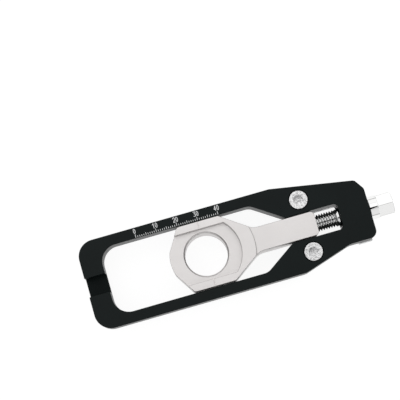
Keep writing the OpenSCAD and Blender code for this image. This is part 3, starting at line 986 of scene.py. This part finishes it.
class CHAIN_ADJUSTER_OT_rear_block(AdjusterOperator):
    """Mills the block that the cap screws hold behind the plate"""

    bl_idname = "chain_adjuster.rear_block"
    bl_label = "Rear block"

    def outline(self, block, nose_run):
        bend = CAP_X + block.shoulder
        nose = PLATE_HIGH.x - nose_run
        lip_end = BLOCK_HIGH.x - block.lip_inset
        return rounded([
            (BLOCK_LOW.x, -block.half, block.corner),
            (bend, -block.half, block.corner),
            (nose, -block.nose_half, block.corner),
            (lip_end - block.lip, -block.nose_half, 0),
            (lip_end - block.lip, -block.lip_y, block.lip_corner),
            (lip_end, -block.lip_y, block.lip_corner),
            (lip_end, -block.nose_half, 0),
            (BLOCK_HIGH.x, -block.nose_half, 0),
            (BLOCK_HIGH.x, block.nose_half, block.corner),
            (nose, block.nose_half, block.corner),
            (bend, block.half, block.corner),
            (BLOCK_LOW.x, block.half, block.corner),
        ])

    def execute(self, context):
        kit = context.scene.chain_adjuster
        block = kit.block
        outline = self.outline(block, kit.plate.nose_run)
        piece = prism("swingarm_block", outline, BLOCK_LOW.z, BLOCK_HIGH.z)
        combine(piece, block_between(
            "tongue_slot", (BLOCK_LOW.x - PAST, -block.slot_half, BLOCK_LOW.z - PAST),
            (PLATE_HIGH.x - kit.plate.nose_wall, block.slot_half, BLOCK_HIGH.z + PAST)))
        hole = kit.caps.shank + kit.caps.thread_gap
        for side in (-1, 1):
            combine(piece, rod("tapped_hole", BLOCK_LOW.z - PAST, BLOCK_HIGH.z + PAST, hole,
                               along_z_at(CAP_X, side * CAP_Y)))
        break_edges(piece, block.edge)
        coat(piece, block_metal(kit.finishes))
        finish_piece(piece, "plate_assembly", "rear_block")
        return {"FINISHED"}


class CHAIN_ADJUSTER_OT_scale(AdjusterOperator):
    """Gives the graduated scale its matt white marking"""

    bl_idname = "chain_adjuster.scale"
    bl_label = "Scale"

    def execute(self, context):
        kit = context.scene.chain_adjuster
        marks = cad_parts["scale_marks"]
        marks.data.materials.clear()
        marks.data.materials.append(marking_white(kit.finishes))
        return {"FINISHED"}


class CHAIN_ADJUSTER_OT_stage(AdjusterOperator):
    """Sets up the white floor, the soft light and the camera"""

    bl_idname = "chain_adjuster.stage"
    bl_label = "Stage"

    # The floor's colour for light that it throws back, and its colour and glow when it is seen
    PAPER = (0.8, 0.8, 0.8, 1)
    FAINT = (0.2, 0.2, 0.2, 1)
    GLOW = 0.9

    # Stretches of the sky in gloss: two shares of the direction along an axis, and the light at each
    LENS_ACROSS = (0.14, 0.17, 0, 1)
    LENS_ALONG = (0.2, 0.35, 0, 1)
    FAR_ENDS = (0.5, 0.8, 1, 0.05)
    LOW_DOWN = (0.02, 0.25, 0.4, 1)
    BELOW = (-0.05, 0, 1, 0)
    TOP_SIDE = (0.3, 0.75, 1, 1.36)
    NEAR_SIDE = (-0.75, -0.3, 1.1, 1)
    # Share along Y by which the lens stands off the middle
    LENS_Y = 0.14

    # Way to the lamp, and the angle that it fills
    LAMP_WAY = (-0.35, 0.3, 1)
    LAMP_SPREAD = math.radians(60)

    # Width of the camera's sensor in millimetres, and how near and far it sees in metres
    SENSOR = 36
    NEAR = 0.05
    FAR = 20

    def floor(self, stage):
        """White to the eye and in gloss, plain paper for the light that it throws back."""
        half = stage.floor_size / 2
        z = CAD_BOX[0].z
        bm = bmesh.new()
        corners = ((-half, -half), (half, -half), (half, half), (-half, half))
        bm.faces.new([bm.verts.new((x, y, z)) for x, y in corners])
        floor = object_from(bm, "floor")
        material = bpy.data.materials.new("floor_white")
        tree = Wiring(material)
        tree.nodes.clear()
        rays = tree.add("ShaderNodeLightPath").outputs
        seen = tree.math("MAXIMUM", rays["Is Camera Ray"], rays["Is Glossy Ray"],
                         rays["Is Transmission Ray"])
        paper = tree.add("ShaderNodeBsdfDiffuse", self.PAPER)
        faint = tree.add("ShaderNodeBsdfDiffuse", self.FAINT)
        glow = tree.add("ShaderNodeEmission")
        glow.inputs["Strength"].default_value = self.GLOW
        bright = tree.add("ShaderNodeAddShader", faint.outputs[0], glow.outputs[0])
        mix = tree.add("ShaderNodeMixShader", seen, paper.outputs[0], bright.outputs[0])
        tree.add("ShaderNodeOutputMaterial", mix.outputs[0])
        coat(floor, material)

    def gloss_light(self, tree):
        """How much of the sky is seen in gloss, by its direction."""
        way = tree.add("ShaderNodeSeparateXYZ", tree.add("ShaderNodeTexCoord").outputs["Generated"])
        x, y, z = way.outputs
        along = tree.math("ABSOLUTE", x)
        across = tree.math("ABSOLUTE", tree.math("ADD", y, self.LENS_Y))
        past_lens = tree.math("MAXIMUM", tree.smooth(across, *self.LENS_ACROSS),
                              tree.smooth(along, *self.LENS_ALONG))
        upper = tree.math("MULTIPLY", past_lens, tree.smooth(z, *self.LOW_DOWN),
                          tree.smooth(along, *self.FAR_ENDS))
        sides = tree.math("MULTIPLY", tree.smooth(y, *self.TOP_SIDE), tree.smooth(y, *self.NEAR_SIDE))
        return tree.math("MULTIPLY", tree.math("MAXIMUM", upper, tree.smooth(z, *self.BELOW)), sides)

    def sky(self, stage):
        """White to the eye, even light for the part, with darker stretches in gloss."""
        world = bpy.data.worlds.new("studio")
        bpy.context.scene.world = world
        tree = Wiring(world)
        tree.nodes.clear()
        rays = tree.add("ShaderNodeLightPath").outputs
        seen = tree.math("MAXIMUM", rays["Is Camera Ray"], rays["Is Transmission Ray"])
        by_gloss = tree.math("MULTIPLY", rays["Is Glossy Ray"], tree.math("SUBTRACT", 1, seen))
        plain = tree.math("SUBTRACT", 1, tree.math("MAXIMUM", seen, by_gloss))
        strength = tree.math("ADD", seen, tree.math("MULTIPLY", by_gloss, self.gloss_light(tree)),
                             tree.math("MULTIPLY", plain, stage.sky))
        light = tree.add("ShaderNodeBackground")
        tree.join(strength, light.inputs["Strength"])
        tree.add("ShaderNodeOutputWorld", light.outputs[0])

    def lamp(self, stage):
        data = bpy.data.lights.new("soft_lamp", "SUN")
        data.energy = stage.sun
        data.angle = self.LAMP_SPREAD
        lamp = bpy.data.objects.new("soft_lamp", data)
        lamp.rotation_euler = Vector(self.LAMP_WAY).to_track_quat("Z", "Y").to_euler()
        bpy.context.scene.collection.objects.link(lamp)

    def camera(self, stage):
        data = bpy.data.cameras.new("camera")
        data.lens = stage.lens
        data.sensor_width = self.SENSOR
        data.clip_start = self.NEAR
        data.clip_end = self.FAR
        camera = bpy.data.objects.new("camera", data)
        bpy.context.scene.collection.objects.link(camera)
        at, to = Vector(stage.camera_at), Vector(stage.camera_to)
        ahead = (to - at).normalized()
        up = Vector((math.sin(stage.camera_roll), math.cos(stage.camera_roll), 0))
        side = ahead.cross(up).normalized()
        camera.matrix_world = Matrix.Translation(at) @ Matrix(
            (side, side.cross(ahead), -ahead)).transposed().to_4x4()
        bpy.context.scene.camera = camera

    def execute(self, context):
        stage = context.scene.chain_adjuster.stage
        bpy.context.scene.view_settings.view_transform = "Standard"
        self.floor(stage)
        self.sky(stage)
        self.lamp(stage)
        self.camera(stage)
        return {"FINISHED"}


class AdjusterSettings(bpy.types.PropertyGroup):
    """All the sizes and finishes of the chain adjuster."""

    plate: bpy.props.PointerProperty(type=PlateSizes)
    slider: bpy.props.PointerProperty(type=SliderSizes)
    screw: bpy.props.PointerProperty(type=ScrewSizes)
    caps: bpy.props.PointerProperty(type=CapScrewSizes)
    block: bpy.props.PointerProperty(type=BlockSizes)
    finishes: bpy.props.PointerProperty(type=Finishes)
    stage: bpy.props.PointerProperty(type=StageSettings)


OPERATORS = (
    CHAIN_ADJUSTER_OT_stage,
    CHAIN_ADJUSTER_OT_plate,
    CHAIN_ADJUSTER_OT_slider,
    CHAIN_ADJUSTER_OT_screw,
    CHAIN_ADJUSTER_OT_cap_screws,
    CHAIN_ADJUSTER_OT_rear_block,
    CHAIN_ADJUSTER_OT_scale,
)


class CHAIN_ADJUSTER_PT_panel(bpy.types.Panel):
    """Lists the pieces of the chain adjuster and their sizes"""

    bl_idname = "CHAIN_ADJUSTER_PT_panel"
    bl_label = "Chain Adjuster"
    bl_space_type = "VIEW_3D"
    bl_region_type = "UI"
    bl_category = "Chain Adjuster"

    def draw(self, context):
        kit = context.scene.chain_adjuster
        for operator in OPERATORS:
            self.layout.operator(operator.bl_idname)
        for group in (kit.plate, kit.slider, kit.screw, kit.caps, kit.block, kit.finishes, kit.stage):
            box = self.layout.box()
            for name in group.__annotations__:
                box.prop(group, name)


CLASSES = (
    PlateSizes, SliderSizes, ScrewSizes, CapScrewSizes, BlockSizes, Finishes, StageSettings,
    AdjusterSettings, *OPERATORS, CHAIN_ADJUSTER_PT_panel,
)


def register():
    for item in CLASSES:
        bpy.utils.register_class(item)
    bpy.types.Scene.chain_adjuster = bpy.props.PointerProperty(type=AdjusterSettings)


def unregister():
    del bpy.types.Scene.chain_adjuster
    for item in reversed(CLASSES):
        bpy.utils.unregister_class(item)


def main():
    """Builds the pieces in order."""
    register()
    for operator in OPERATORS:
        group, name = operator.bl_idname.split(".")
        getattr(getattr(bpy.ops, group), name)()


if __name__ == "__main__":
    main()
